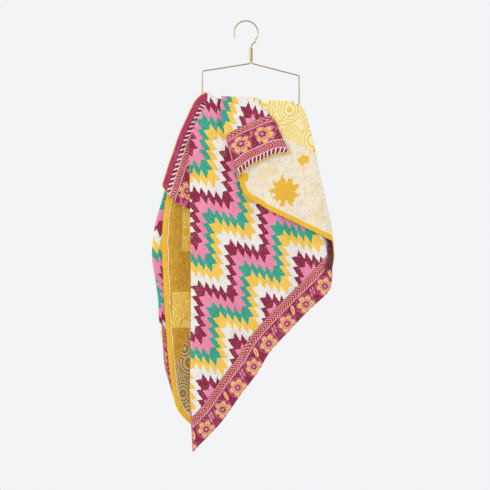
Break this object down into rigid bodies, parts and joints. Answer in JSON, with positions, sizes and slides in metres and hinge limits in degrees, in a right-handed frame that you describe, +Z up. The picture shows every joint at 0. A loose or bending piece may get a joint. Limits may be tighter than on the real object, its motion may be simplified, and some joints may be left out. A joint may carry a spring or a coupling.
{
  "type": "kantha quilt on a wire hanger",
  "caption": "Thin stitched cotton quilt with zigzag and floral borders, hung in pleats over the bottom bar of a brass wire hanger.",
  "frame": {"origin": "underside of the hook's top, where it rests on a peg", "axes": "+Z up, +X to the right seen from the front, and the front of the quilt faces -Y, with the wall on the +Y side"},
  "size_m": [0.5649, 0.1137, 1.3341],
  "materials": {
    "quilted_cotton": "soft matt printed cotton with running stitches",
    "brass_wire": "satin brass-plated wire",
    "brass_sleeve": "satin crimped brass"
  },
  "bodies": {
    "root": {"quilt": "quilted_cotton", "hanger_frame": "brass_wire", "hanger_hook": "brass_wire", "hanger_sleeve": "brass_sleeve"}
  },
  "joints": []
}
